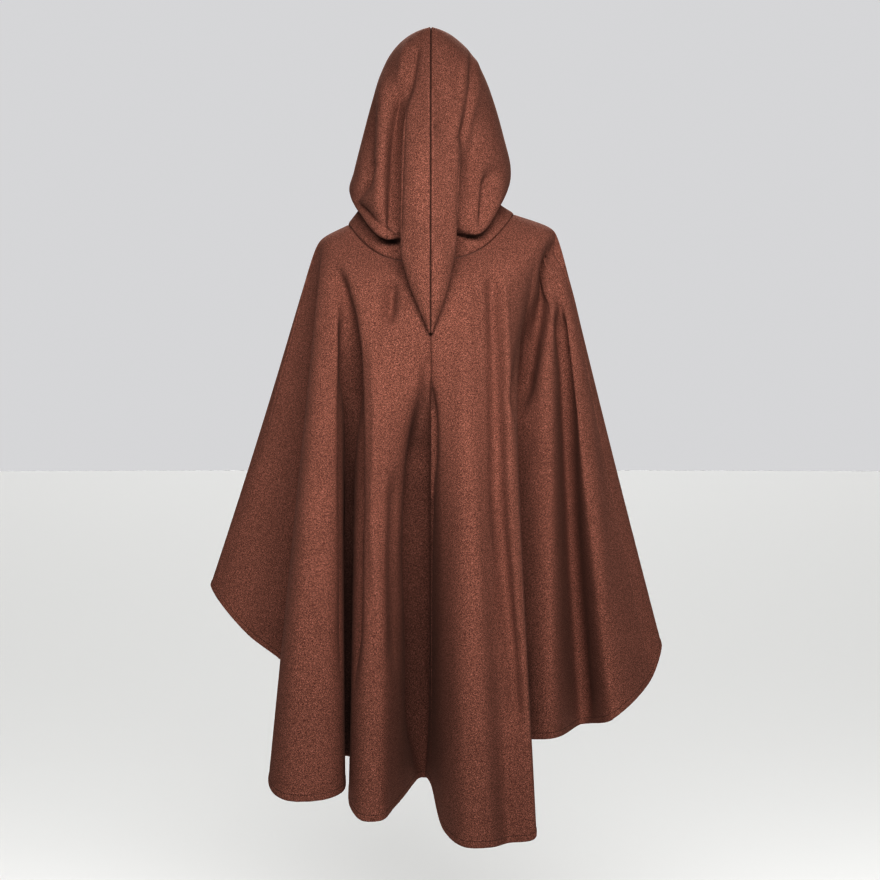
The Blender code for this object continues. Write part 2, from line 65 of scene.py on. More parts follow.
Crease = namedtuple("Crease", "name angle x y z start lean breadth")
creases = (
    Crease("left_front_edge", -176, -0.012, 0.205, -0.930, 0.00, 1, 0),
    Crease("left_front_fold", -160, -0.052, 0.255, -0.940, 0.10, 1, 0.034),
    Crease("left_front_dip", -148, -0.092, 0.155, -0.925, 0.15, 1, 0.016),
    Crease("left_chest_fold", -137, -0.134, 0.232, -0.932, 0.10, 1, 0.036),
    Crease("left_chest_dip", -125, -0.176, 0.115, -0.890, 0.12, 1, 0.018),
    Crease("left_front_arm_fold", -114, -0.236, 0.160, -0.800, 0.05, 1, 0.040),
    Crease("left_front_arm_dip", -104, -0.276, 0.070, -0.722, 0.10, 1, 0),
    Crease("left_front_lobe", -97, -0.347, 0.088, -0.655, 0.00, 1, 0),
    Crease("left_tip", -90, -0.392, 0.055, -0.609, 0.00, 1, 0),
    Crease("left_seam", -87, -0.374, 0.024, -0.634, 0.00, 1, 0),
    Crease("left_lobe", -84, -0.318, -0.014, -0.690, 0.00, 1, 0),
    Crease("left_lobe_inner", -80, -0.253, -0.056, -0.732, 0.00, 1, 0),
    Crease("left_arm_dip", -76, -0.200, -0.072, -0.785, 0.03, 1, 0),
    Crease("fold_a_left", -71, -0.262, -0.215, -0.905, 0.05, 1, 0),
    Crease("fold_a_front", -61, -0.201, -0.266, -0.925, 0.05, 1, 0.060),
    Crease("fold_a_right", -53, -0.140, -0.235, -0.918, 0.05, 1, 0),
    Crease("gap", -43, -0.146, -0.050, -0.895, 0.05, 1, 0.012),
    Crease("fold_b_left", -34, -0.128, -0.240, -0.942, 0.06, 1, 0),
    Crease("fold_b_front", -23, -0.093, -0.273, -0.956, 0.05, 1, 0.030),
    Crease("fold_b_right", -13, -0.057, -0.215, -0.946, 0.15, 1, 0),
    Crease("recess", -5, -0.014, -0.034, -0.934, 0.18, 1, 0),
    Crease("centre_back", 0, 0.000, -0.105, -0.932, 0.18, 1, 0),
    Crease("fold_c_left", 5, 0.022, -0.222, -0.984, 0.15, 1, 0),
    Crease("fold_c_front", 14, 0.076, -0.283, -0.996, 0.05, 1, 0.040),
    Crease("fold_c_dip", 25, 0.124, -0.250, -0.997, 0.10, 1, 0),
    Crease("fold_c_right", 35, 0.168, -0.252, -0.988, 0.05, 1, 0),
    Crease("right_arm_dip", 62, 0.092, -0.060, -0.860, 0.00, 0.75, 0.016),
    Crease("right_lobe_fold", 73, 0.202, -0.122, -0.852, 0.00, 0.9, 0),
    Crease("right_lobe_dip", 79, 0.262, -0.010, -0.846, 0.05, 1, 0),
    Crease("right_lobe_front", 83, 0.306, -0.106, -0.822, 0.00, 1, 0),
    Crease("right_seam", 87, 0.382, -0.025, -0.765, 0.00, 1, 0),
    Crease("right_tip", 90, 0.404, 0.020, -0.709, 0.00, 1, 0),
    Crease("right_front_lobe", 97, 0.352, 0.065, -0.770, 0.00, 1, 0),
    Crease("right_front_arm_dip", 104, 0.283, 0.058, -0.815, 0.10, 1, 0),
    Crease("right_front_arm_fold", 114, 0.232, 0.165, -0.846, 0.05, 1, 0.042),
    Crease("right_chest_dip", 126, 0.156, 0.110, -0.900, 0.12, 1, 0.018),
    Crease("right_chest_fold", 137, 0.128, 0.238, -0.935, 0.10, 1, 0.034),
    Crease("right_front_dip", 149, 0.088, 0.150, -0.928, 0.15, 1, 0.016),
    Crease("right_front_fold", 161, 0.050, 0.250, -0.942, 0.10, 1, 0.030),
    Crease("right_front_edge", 176, 0.012, 0.205, -0.930, 0.00, 1, 0),
)


def blend(a, b, share):
    return a + (b - a) * share


def ease(x):
    x = np.clip(x, 0, 1)
    return x * x * (3 - 2 * x)


def bump(distance, width):
    return np.exp(-(distance / width) ** 2)


def curveThrough(before, start, end, after, share):
    # a centripetal spline through four points, for all the rows at once
    points = [before, start, end, after]
    knots = [np.zeros(len(start))]
    for first, second in zip(points, points[1:]):
        knots.append(knots[-1] + np.maximum(np.linalg.norm(second - first, axis=1), 1e-9) ** 0.5)
    at = blend(knots[1], knots[2], share)
    for step in (1, 2):
        for i in range(4 - step):
            part = ((at - knots[i]) / (knots[i + step] - knots[i]))[:, None]
            points[i] = blend(points[i], points[i + 1], part)
    return blend(points[0], points[1], ((at - knots[1]) / (knots[2] - knots[1]))[:, None])


def splineAcross(lines, samples):
    # lines is rows x lines x 3. It gives rows x columns x 3, and each line's column
    first = 2 * lines[:, :1] - lines[:, 1:2]
    last = 2 * lines[:, -1:] - lines[:, -2:-1]
    ends = np.concatenate([first, lines, last], axis=1)
    columns = []
    marks = []
    for i in range(lines.shape[1] - 1):
        marks.append(len(columns))
        for share in samples[i]:
            columns.append(curveThrough(ends[:, i], ends[:, i + 1], ends[:, i + 2], ends[:, i + 3], share))
    marks.append(len(columns))
    columns.append(lines[:, -1])
    return np.stack(columns, axis=1), marks


besideSeam = {"start": (0.01, 0.025, 0.045, 0.07, 0.10, 0.14), "startLimit": 0.17,
              "end": (0.86, 0.90, 0.93, 0.955, 0.975, 0.99), "endLimit": 0.83}


def sampleSpan(count, fineStart=False, fineEnd=False):
    # shares that lie closer together towards the creases, and very close beside a seam
    shares = [0.5 - 0.5 * math.cos(math.pi * i / count) for i in range(count)]
    if fineStart:
        rest = [share for share in shares if share > besideSeam["startLimit"]]
        shares = sorted({shares[0], *besideSeam["start"], *rest})
    if fineEnd:
        rest = [share for share in shares if share < besideSeam["endLimit"]]
        shares = sorted({*rest, *besideSeam["end"]})
    return shares


def gridNormals(points, facing):
    along = np.gradient(points, axis=1)
    down = np.gradient(points, axis=0)
    normals = np.cross(along, down)
    return facing * normals / np.maximum(np.linalg.norm(normals, axis=2, keepdims=True), 1e-12)


def arcLengths(points):
    steps = np.linalg.norm(np.diff(points, axis=1), axis=2)
    return np.concatenate([np.zeros((len(points), 1)), np.cumsum(steps, axis=1)], axis=1)


# The body

def neckPoint(angle):
    across = math.sin(math.radians(angle))
    ahead = -math.cos(math.radians(angle))
    depth = neckCut["front"] if ahead > 0 else neckCut["back"]
    low = neckCut["frontHeight"] if ahead > 0 else neckCut["backHeight"]
    height = blend(low, neckCut["backHeight"], across * across) + neckCut["sideRise"] * abs(across) ** 3
    return np.array((neckCut["halfWidth"] * across, depth * ahead, height + shoulders["tilt"] * across))


def shoulderPoint(angle):
    across = math.sin(math.radians(angle))
    ahead = -math.cos(math.radians(angle))
    depth = shoulders["front"] if ahead > 0 else shoulders["back"]
    wide = shoulders["halfWidth"] * across + shoulders["widerRight"] * across * across
    height = shoulders["height"] + shoulders["tilt"] * across - shoulders["edgeDrop"] * ahead * ahead
    return np.array((wide, depth * ahead, height))


def creasePath(crease, shares):
    neck = neckPoint(crease.angle)
    edge = shoulderPoint(crease.angle)
    depth = hemOval["front"] if abs(crease.angle) > 90 else -hemOval["back"]
    plainY = depth * math.sqrt(1 - (crease.x / hemOval["halfWidth"]) ** 2)
    hem = np.array((crease.x, plainY, crease.z))
    over = np.linalg.norm(edge - neck)
    fall = np.linalg.norm(hem - edge)
    distance = shares * (over + fall)

    def corner(d):
        return 0.5 * (d + np.hypot(d, shoulders["rounding"]))

    down = corner(distance - over) - corner(-over)
    path = neck + np.outer(distance - down, (edge - neck) / over) + np.outer(down, (hem - edge) / fall)
    fallen = np.clip((distance - over) / fall, 0, 1)
    grown = np.maximum(fallen - crease.start, 0) / (1 - crease.start)
    soft = grown * (1 + bodyCut["foldOnset"]) / (grown + bodyCut["foldOnset"])
    grown = soft * (1 - (1 - grown) ** bodyCut["foldSwell"])
    path[:, 1] += (crease.y - plainY) * grown
    path[:, 0] += (crease.x - edge[0]) * (fallen**crease.lean - fallen)
    return path


def rowShares():
    # rows lie close together at the neck seam and along the hem, for the rolled edges and the stitching
    steps = []
    step = bodyCut["rowStart"]
    while step < bodyCut["rowStep"]:
        steps.append(step)
        step *= bodyCut["rowGrow"]
    hemSteps = bodyCut["hemSteps"]
    middle = 1 - sum(steps) - sum(hemSteps)
    count = round(middle / bodyCut["rowStep"])
    every = [*steps, *[middle / count] * count, *reversed(hemSteps)]
    return np.concatenate([[0], np.cumsum(every)])


def creaseLines():
    lines = []
    for crease in creases:
        if not crease.breadth:
            lines.append(crease)
            continue
        onward = -1 if abs(crease.angle) > 90 else 1
        half = crease.breadth / 2
        turn = math.degrees(bodyCut["breadthAbove"] * half / shoulders["halfWidth"])
        for side in (-1, 1):
            lines.append(crease._replace(angle=crease.angle + side * turn, x=crease.x + side * onward * half))
    return lines


def bodySurface():
    lines = creaseLines()
    shares = rowShares()
    seams = ("left_front_edge", "left_seam", "centre_back", "right_seam", "right_front_edge")
    samples = []
    for crease, following in zip(lines, lines[1:]):
        if crease.name == following.name:
            samples.append(sampleSpan(bodyCut["breadthSamples"]))
        else:
            samples.append(sampleSpan(bodyCut["samples"], crease.name in seams, following.name in seams))
    paths = np.stack([creasePath(crease, shares) for crease in lines], axis=1)
    points, marks = splineAcross(paths, samples)
    return points, {crease.name: mark for crease, mark in zip(lines, marks)}


print("body surface")
bodyPoints, bodyMarks = bodySurface()

# Each smaller crease follows a few points, as seen from the camera: x and z on the plane of the neck.
# depth is out of the cloth where it is above 0, width is half of it, and fade is how softly it ends.
Soft = namedtuple("Soft", "depth width fade path")
backCreases = (
    Soft(-0.014, 0.011, 0.030, ((-0.069, -0.070), (-0.072, -0.098), (-0.077, -0.140))),
    Soft(-0.010, 0.020, 0.040, ((-0.079, -0.081), (-0.075, -0.137))),
    Soft(-0.022, 0.012, 0.060,
         ((-0.165, -0.061), (-0.149, -0.131), (-0.142, -0.193), (-0.140, -0.315), (-0.140, -0.490))),
    Soft(-0.020, 0.014, 0.160, ((-0.140, -0.228), (-0.139, -0.403), (-0.139, -0.560), (-0.142, -0.735))),
    Soft(0.005, 0.015, 0.060, ((0.063, -0.059), (0.059, -0.252), (0.068, -0.455), (0.077, -0.718), (0.086, -0.980))),
    Soft(-0.015, 0.011, 0.060, ((0.108, -0.061), (0.110, -0.142), (0.117, -0.455), (0.138, -0.700), (0.148, -0.840))),
    Soft(0.006, 0.007, 0.050, ((0.129, -0.087), (0.135, -0.280), (0.140, -0.490), (0.155, -0.700))),
    Soft(-0.040, 0.014, 0.070, ((0.218, -0.018), (0.203, -0.095), (0.176, -0.177), (0.155, -0.283))),
    Soft(0.005, 0.010, 0.050, ((0.218, -0.038), (0.211, -0.122), (0.199, -0.233), (0.191, -0.367))),
    Soft(-0.012, 0.010, 0.050, ((0.226, -0.137), (0.238, -0.233), (0.250, -0.542), (0.262, -0.718), (0.271, -0.831))),
    Soft(0.005, 0.011, 0.060, ((0.236, -0.087), (0.248, -0.150), (0.271, -0.261), (0.287, -0.420), (0.301, -0.630))),
    Soft(0.006, 0.009, 0.060, ((-0.103, -0.193), (-0.097, -0.315), (-0.102, -0.490), (-0.095, -0.630))),
    Soft(0.003, 0.008, 0.040, ((-0.035, -0.175), (-0.048, -0.280))),
    Soft(-0.012, 0.016, 0.060, ((-0.004, -0.196), (-0.005, -0.280), (-0.013, -0.403))),
    Soft(-0.018, 0.012, 0.140,
         ((-0.007, -0.245), (-0.018, -0.403), (-0.025, -0.560), (-0.021, -0.718), (-0.023, -0.875))),
    Soft(-0.024, 0.017, 0.240, ((-0.019, -0.367), (-0.025, -0.560), (-0.025, -0.718), (-0.026, -0.892))),
    Soft(-0.008, 0.012, 0.060, ((-0.061, -0.420), (-0.065, -0.560), (-0.061, -0.735))),
)
frontCreases = (
    Soft(-0.008, 0.010, 0.050, ((-0.060, -0.140), (-0.074, -0.400), (-0.084, -0.600))),
    Soft(0.005, 0.010, 0.050, ((-0.118, -0.100), (-0.138, -0.350), (-0.150, -0.620))),
    Soft(-0.010, 0.011, 0.050, ((-0.172, -0.080), (-0.203, -0.300), (-0.222, -0.520))),
    Soft(0.005, 0.010, 0.050, ((-0.228, -0.160), (-0.262, -0.360), (-0.287, -0.550))),
    Soft(-0.008, 0.010, 0.050, ((0.068, -0.130), (0.080, -0.380), (0.092, -0.640))),
    Soft(0.005, 0.011, 0.050, ((0.114, -0.100), (0.130, -0.330), (0.142, -0.600))),
    Soft(-0.010, 0.010, 0.050, ((0.166, -0.090), (0.194, -0.280), (0.217, -0.500))),
    Soft(0.005, 0.010, 0.050, ((0.236, -0.150), (0.271, -0.380), (0.301, -0.620))),
)


def seenFromCamera(points):
    x, y, z = view["place"]
    scale = -y / (points[..., 1] - y)
    return (points[..., 0] - x) * scale + x, (points[..., 2] - z) * scale + z


# a crease fades out where the cloth turns away from its side, and a little past the middle of the cloak
creaseSide = {"turned": 0.05, "turnedFade": 0.3, "past": 0.04, "pastFade": 0.06}


def applyCreases(points, normals, table, facing):
    seenX, seenZ = seenFromCamera(points)
    turned = ease((normals[..., 1] * facing - creaseSide["turned"]) / creaseSide["turnedFade"])
    turned *= ease((facing * points[..., 1] + creaseSide["past"]) / creaseSide["pastFade"])
    offset = np.zeros(points.shape[:2])
    for crease in table:
        zs = [z for _, z in crease.path]
        xs = [x for x, _ in crease.path]
        along = np.interp(-seenZ, [-z for z in zs], xs)
        ends = ease((zs[0] - seenZ) / crease.fade + 0.5) * ease((seenZ - zs[-1]) / crease.fade + 0.5)
        offset += crease.depth * bump(seenX - along, crease.width) * ends * turned
    return points + normals * offset[..., None]


# shadeOff and shadeFade move the painted seam shade away from the seam line, more where the seam lies flatter
seamRoll = {"dip": 0.0020, "dipWidth": 0.0017, "lip": 0.0006, "lipAt": 0.0050, "lipWidth": 0.0026,
            "neckShare": 0.4, "flatter": 0.85, "flatFrom": -0.14, "flatOver": 0.24, "shadeOff": 0.0007,
            "shadeFade": 0.0012}
hemBand = {"width": 0.0100, "fade": 0.002, "thick": 0.0007, "groove": 0.0005, "grooveWidth": 0.0011,
           "round": 0.0009, "roundWidth": 0.0008}


def rollSeam(distance):
    dip = -seamRoll["dip"] * bump(distance, seamRoll["dipWidth"])
    return dip + seamRoll["lip"] * bump(distance - seamRoll["lipAt"], seamRoll["lipWidth"])


def foldHem(distance):
    band = hemBand["thick"] * (1 - ease((distance - hemBand["width"]) / hemBand["fade"]))
    band -= hemBand["groove"] * bump(distance - hemBand["width"], hemBand["grooveWidth"])
    return band - hemBand["round"] * bump(distance, hemBand["roundWidth"])


def besideCentre(points, side):
    # no half reaches over the middle, where the two are sewn together
    points[..., 0] = side * np.maximum(side * points[..., 0], 0)
    return points


def clothPiece(name, outer, inner, cut, node):
    # a fine grid, moved on to the outer points. Its copy goes to the inner points, and the rim joins them
    rows, columns = outer.shape[:2]
    bm = bmesh.new()
    inside = bm.verts.layers.float_vector.new("inside")
    cutPlace = bm.verts.layers.float_vector.new("cut")
    made = bmesh.ops.create_grid(bm, x_segments=columns - 1, y_segments=rows - 1, size=1)
    unused = []
    for i, vert in enumerate(made["verts"]):
        row, column = divmod(i, columns)
        if np.isnan(outer[row, column, 0]):
            unused.append(vert)
            continue
        vert.co = outer[row, column]
        vert[inside] = inner[row, column]
        vert[cutPlace] = cut[row, column]
    bmesh.ops.delete(bm, geom=unused, context="VERTS")
    copied = bmesh.ops.extrude_face_region(bm, geom=bm.faces[:], use_keep_orig=True)
    for item in copied["geom"]:
        if isinstance(item, bmesh.types.BMVert):
            item.co = item[inside]
    bmesh.ops.recalc_face_normals(bm, faces=bm.faces)
    bm.verts.layers.float_vector.remove(bm.verts.layers.float_vector["inside"])
    mesh = bpy.data.meshes.new(name)
    bm.to_mesh(mesh)
    bm.free()
    mesh.shade_smooth()
    obj = bpy.data.objects.new(name, mesh)
    bpy.context.scene.collection.objects.link(obj)
    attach(obj, "root")
    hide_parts(node)
    print(name, len(mesh.polygons), "faces")
    return obj


def bodyNormals(points):
    normals = gridNormals(points, -1)
    normals[:, bodyMarks["centre_back"], 0] = 0
    return normals


def makeBody():
    # the surface is the outside of the cloth, and the wall lies inside it
    normals = bodyNormals(bodyPoints)
    points = applyCreases(bodyPoints, normals, backCreases, -1)
    points = applyCreases(points, normals, frontCreases, 1)
    normals = bodyNormals(points)
    falls = np.linalg.norm(np.diff(points, axis=0), axis=2)
    toHem = np.concatenate([np.cumsum(falls[::-1], axis=0)[::-1], np.zeros((1, points.shape[1]))])
    toNeck = toHem[:1] - toHem
    pieces = []
    for name, node, first, last, side, flat, area in bodyCut["pieces"]:
        span = slice(bodyMarks[first], bodyMarks[last] + 1)
        outer = points[:, span]
        bent = normals[:, span]
        arcs = arcLengths(outer)
        toSeam = np.minimum(arcs, arcs[:, -1:] - arcs)
        # the seams lie flatter lower down
        low = ease((seamRoll["flatFrom"] - outer[..., 2]) / seamRoll["flatOver"])
        seen = 1 - seamRoll["flatter"] * low
        moved = rollSeam(toSeam) * seen + foldHem(toHem[:, span])
        moved += seamRoll["neckShare"] * rollSeam(toNeck[:, span])
        inner = besideCentre(outer - bent * wall, side)
        outer = besideCentre(outer + bent * moved[..., None], side)
        # painted shade of the seam groove, with dark thread; it fades lower down, where the seam lies flatter
        shade = toSeam + seamRoll["shadeOff"] + seamRoll["shadeFade"] * (1 - seen)
        cut = np.stack([arcs, toHem[:, span], shade], axis=2)
        pieces.append(clothPiece(name, outer, inner, cut, node))
    return pieces


bodyPieces = makeBody()

# The hood: two halves joined over the crown and down the hanging point, which falls over the neck seam

Level = namedtuple(
    "Level", "name seamZ ridgeZ sideZ faceZ seamY backY sideX pointX valleyX valleyIn ridgeX faceX")
hoodLeft = (
    Level("crown", 0.355, 0.356, 0.359, 0.350, -0.056, -0.055, 0.026, 0.006, 0.011, 0.000, 0.017, 0.010),
    Level("cap", 0.343, 0.344, 0.346, 0.338, -0.068, -0.067, 0.048, 0.012, 0.021, 0.000, 0.033, 0.022),
    Level("top", 0.318, 0.319, 0.322, 0.318, -0.087, -0.086, 0.070, 0.017, 0.030, 0.000, 0.045, 0.042),
    Level("upper", 0.280, 0.282, 0.285, 0.286, -0.110, -0.106, 0.088, 0.023, 0.035, 0.002, 0.054, 0.064),
    Level("brow", 0.235, 0.236, 0.240, 0.240, -0.130, -0.120, 0.102, 0.032, 0.041, 0.010, 0.066, 0.080),
    Level("eye", 0.175, 0.176, 0.180, 0.185, -0.146, -0.128, 0.118, 0.043, 0.043, 0.022, 0.078, 0.092),
    Level("cheek", 0.110, 0.106, 0.120, 0.125, -0.157, -0.132, 0.133, 0.046, 0.036, 0.036, 0.084, 0.095),
    Level("pouch", 0.035, -0.010, 0.088, 0.060, -0.163, -0.136, 0.140, 0.048, 0.026, 0.040, 0.074, 0.085),
    Level("tuck", -0.010, -0.002, 0.068, 0.015, -0.166, -0.110, 0.119, 0.048, 0.014, 0.030, 0.068, 0.055),
)
hoodRight = (
    Level("crown", 0.355, 0.356, 0.359, 0.350, -0.056, -0.055, 0.025, 0.006, 0.011, 0.000, 0.017, 0.010),
    Level("cap", 0.343, 0.344, 0.346, 0.338, -0.068, -0.067, 0.046, 0.012, 0.021, 0.000, 0.032, 0.022),
    Level("top", 0.318, 0.319, 0.322, 0.318, -0.087, -0.086, 0.070, 0.018, 0.030, 0.000, 0.046, 0.042),
    Level("upper", 0.280, 0.282, 0.285, 0.286, -0.110, -0.106, 0.091, 0.025, 0.038, 0.001, 0.056, 0.064),
    Level("brow", 0.235, 0.236, 0.240, 0.240, -0.130, -0.120, 0.108, 0.035, 0.047, 0.003, 0.067, 0.080),
    Level("eye", 0.175, 0.176, 0.180, 0.185, -0.146, -0.128, 0.125, 0.045, 0.053, 0.007, 0.082, 0.092),
    Level("cheek", 0.110, 0.108, 0.126, 0.125, -0.157, -0.134, 0.137, 0.046, 0.050, 0.015, 0.088, 0.095),
    Level("pouch", 0.035, 0.000, 0.098, 0.060, -0.163, -0.136, 0.133, 0.043, 0.036, 0.026, 0.080, 0.085),
    Level("tuck", -0.010, 0.004, 0.074, 0.015, -0.166, -0.110, 0.107, 0.041, 0.018, 0.028, 0.070, 0.055),
)
Hanging = namedtuple("Hanging", "name z seamY underY halfLeft halfRight")
hangingPoint = (
    Hanging("nape", -0.068, -0.167, -0.122, 0.0405, 0.0330),
    Hanging("middle", -0.098, -0.164, -0.130, 0.0310, 0.0268),
    Hanging("low", -0.130, -0.158, -0.137, 0.0178, 0.0160),
    Hanging("end", -0.156, -0.153, -0.140, 0.0072, 0.0068),
    Hanging("tip", -0.172, -0.150, -0.141, 0.0022, 0.0022),
)
hoodCut = {"crownBack": -0.050, "crownFront": 0.130, "crownHeight": 0.365, "crownTop": 0.35,
           "crownArch": 0.052, "crownSpread": (0, 0.06, 0.11, 0.14, 0.17, 0.23, 0.32, 0.44, 0.74, 1),
           "headMiddle": 0.010, "faceEdge": 0.132, "nearSide": 0.9, "nearSideHeight": 0.6,
           "cheekAhead": 0.6, "cheekIn": 0.35, "valleyHeight": 0.4, "pointMiddle": 0.55,
           "pointMiddleDepth": 0.2, "underMiddle": 0.55, "tipMiddle": 0.6, "tipMiddleDepth": 0.12,
           "tipWall": 0.3, "pointDepth": 0.022, "neckHalf": (0.0465, 0.0375), "fullValley": 0.036,
           "neckAngles": (35, 62, 90, 130, 176),
           "neckStart": 1.4, "valleyFoot": 0.0035, "pointColumns": 4, "rows": 10, "samples": 11,
           "pieces": (("wool_hood_left", "hood_left", -1, (0.42, 0.56), 0.168),
                      ("wool_hood_right", "hood_right", 1, (0.42, 0.56), 0.158))}

hoodCreases = (
    Soft(-0.022, 0.012, 0.050, ((-0.060, 0.259), (-0.065, 0.140), (-0.070, 0.007))),
    Soft(0.007, 0.011, 0.050, ((-0.079, 0.280), (-0.084, 0.158), (-0.089, 0.049))),
    Soft(-0.015, 0.009, 0.060, ((-0.105, 0.263), (-0.109, 0.158), (-0.112, 0.102))),
    Soft(-0.013, 0.009, 0.012, ((-0.128, 0.063), (-0.098, 0.032), (-0.061, -0.007))),
    Soft(-0.010, 0.008, 0.030, ((-0.102, 0.133), (-0.117, 0.095), (-0.132, 0.067))),
    Soft(0.005, 0.006, 0.030, ((0.061, 0.326), (0.054, 0.273), (0.049, 0.226), (0.040, 0.184))),
    Soft(0.004, 0.006, 0.030, ((0.075, 0.319), (0.080, 0.273), (0.075, 0.238), (0.068, 0.201), (0.061, 0.172))),
    Soft(-0.005, 0.005, 0.030, ((0.066, 0.326), (0.068, 0.273), (0.063, 0.226), (0.052, 0.178))),
    Soft(-0.007, 0.014, 0.012, ((0.017, 0.206), (0.017, 0.193))),
    Soft(-0.009, 0.011, 0.030, ((-0.026, 0.336), (-0.034, 0.287), (-0.046, 0.245))),
    Soft(0.004, 0.007, 0.030, ((-0.046, 0.336), (-0.053, 0.271))),
    Soft(-0.024, 0.011, 0.050, ((0.110, 0.119), (0.100, 0.070), (0.087, 0.025))),
    Soft(-0.012, 0.024, 0.060, ((0.080, 0.224), (0.082, 0.140), (0.077, 0.052))),
    Soft(0.004, 0.008, 0.030, ((0.119, 0.077), (0.108, 0.045))),
    Soft(-0.009, 0.011, 0.040, ((0.068, 0.158), (0.066, 0.079), (0.063, 0.009))),
)


def levelPoints(level, side):
    middle = hoodCut["headMiddle"]

    def head(x):
        return middle + (level.backY - middle) * math.sqrt(1 - (x / level.sideX) ** 2)

    free = min(level.valleyIn / hoodCut["fullValley"], 1.0)
    deep = hoodCut["pointDepth"]
    middleX = hoodCut["pointMiddle"] * level.pointX
    middleY = blend(head(middleX), level.seamY + hoodCut["pointMiddleDepth"] * deep, free)
    edgeY = blend(head(level.pointX), level.seamY + deep, free)
    valleyY = head(level.valleyX) + level.valleyIn
    valleyZ = blend(level.seamZ, level.ridgeZ, hoodCut["valleyHeight"])
    nearX = hoodCut["nearSide"] * level.sideX
    points = (
        (0, level.seamY, level.seamZ),
        (middleX, middleY, level.seamZ),
        (level.pointX, edgeY, level.seamZ),
        (blend(level.pointX, level.valleyX, 0.5), blend(edgeY, valleyY, 0.5), blend(level.seamZ, valleyZ, 0.5)),
        (level.valleyX, valleyY, valleyZ),
        (level.ridgeX, head(level.ridgeX), level.ridgeZ),
        (nearX, head(nearX), blend(level.ridgeZ, level.sideZ, hoodCut["nearSideHeight"])),
        (level.sideX, middle, level.sideZ),
        (blend(level.sideX, level.faceX, hoodCut["cheekIn"]), hoodCut["cheekAhead"] * hoodCut["faceEdge"],
         blend(level.sideZ, level.faceZ, 0.5)),
        (level.faceX, hoodCut["faceEdge"], level.faceZ),
    )
    return [np.array((side * x, y, z)) for x, y, z in points]


def crownPoints():
    points = []
    for share in hoodCut["crownSpread"]:
        y = blend(hoodCut["crownBack"], hoodCut["crownFront"], share)
        z = hoodCut["crownHeight"] - hoodCut["crownArch"] * (share - hoodCut["crownTop"]) ** 2
        points.append(np.array((0, y, z)))
    return points


def neckLevel(side):
    top = hangingPoint[0]
    half = hoodCut["neckHalf"][0 if side < 0 else 1]
    lift = np.array((0, 0, neckSeamGap))
    back = neckPoint(0)
    deep = hoodCut["pointDepth"]
    under = hoodCut["underMiddle"]
    points = [
        np.array((0, top.seamY, back[2])),
        np.array((side * hoodCut["pointMiddle"] * half, top.seamY + hoodCut["pointMiddleDepth"] * deep, back[2])),
        np.array((side * half, top.seamY + deep, back[2])),
        np.array((side * under * half, blend(top.seamY + deep, back[1], under), back[2])) + lift,
        np.array((side * hoodCut["valleyFoot"], back[1], back[2])) + lift,
    ]
    return points + [neckPoint(side * angle) + lift for angle in hoodCut["neckAngles"]]


def hangingLevel(level, side):
    half = level.halfLeft if side < 0 else level.halfRight
    thick = level.underY - level.seamY
    share = hoodCut["tipMiddle"]
    near = hoodCut["tipMiddleDepth"] * thick
    return [
        np.array((0, level.seamY, level.z)),
        np.array((side * share * half, level.seamY + near, level.z)),
        np.array((side * half, level.seamY + 0.5 * thick, level.z)),
        np.array((side * share * half, level.underY - near, level.z)),
        np.array((0, level.underY, level.z)),
    ]


def hoodSurface(levels, side):
    # the columns of the hanging point run on below the neck seam, and there the others hold no point
    net = [crownPoints()] + [levelPoints(level, side) for level in levels] + [neckLevel(side)]
    neckRow = (len(net) - 1) * hoodCut["rows"]
    hang = [hangingLevel(level, side) for level in hangingPoint]
    shares = [i / hoodCut["rows"] for i in range(hoodCut["rows"])]
    lines = []
    for k in range(len(net[0])):
        column = [points[k] for points in net]
        if k <= hoodCut["pointColumns"]:
            column += [points[k] for points in hang]
        line = np.array(column)[None]
        lines.append(splineAcross(line, [shares] * (len(column) - 1))[0][0])
    last = hoodCut["pointColumns"]
    samples = [sampleSpan(hoodCut["samples"], k == 0, k == last - 1) for k in range(len(lines) - 1)]
    top = np.stack([line[: neckRow + 1] for line in lines], axis=1)
    upper, marks = splineAcross(top, samples)
    below = np.stack([line[neckRow + 1 :] for line in lines[: last + 1]], axis=1)
    lower, _ = splineAcross(below, samples[:last])
    # the lower edge follows the neck seam
    angles = (hoodCut["neckStart"], *hoodCut["neckAngles"])
    column = marks[last]
    for k in range(last, len(lines) - 1):
        for share in samples[k]:
            angle = blend(angles[k - last], angles[k - last + 1], share)
            if column > marks[last]:
                upper[neckRow, column] = neckPoint(side * angle) + np.array((0, 0, neckSeamGap))
            column += 1
    upper[neckRow, -1] = neckPoint(side * angles[-1]) + np.array((0, 0, neckSeamGap))
    points = np.full((len(upper) + len(lower), upper.shape[1], 3), np.nan)
    points[: len(upper)] = upper
    points[len(upper) :, : lower.shape[1]] = lower
    return points, neckRow, marks


def hoodNormals(points, neckRow, pointColumn, side):
    normals = np.full(points.shape, np.nan)
    normals[: neckRow + 1] = gridNormals(points[: neckRow + 1], -side)
    normals[neckRow - 2 :, : pointColumn + 1] = gridNormals(points[neckRow - 3 :, : pointColumn + 1], -side)[1:]
    normals[:, 0, 0] = 0
    return normals


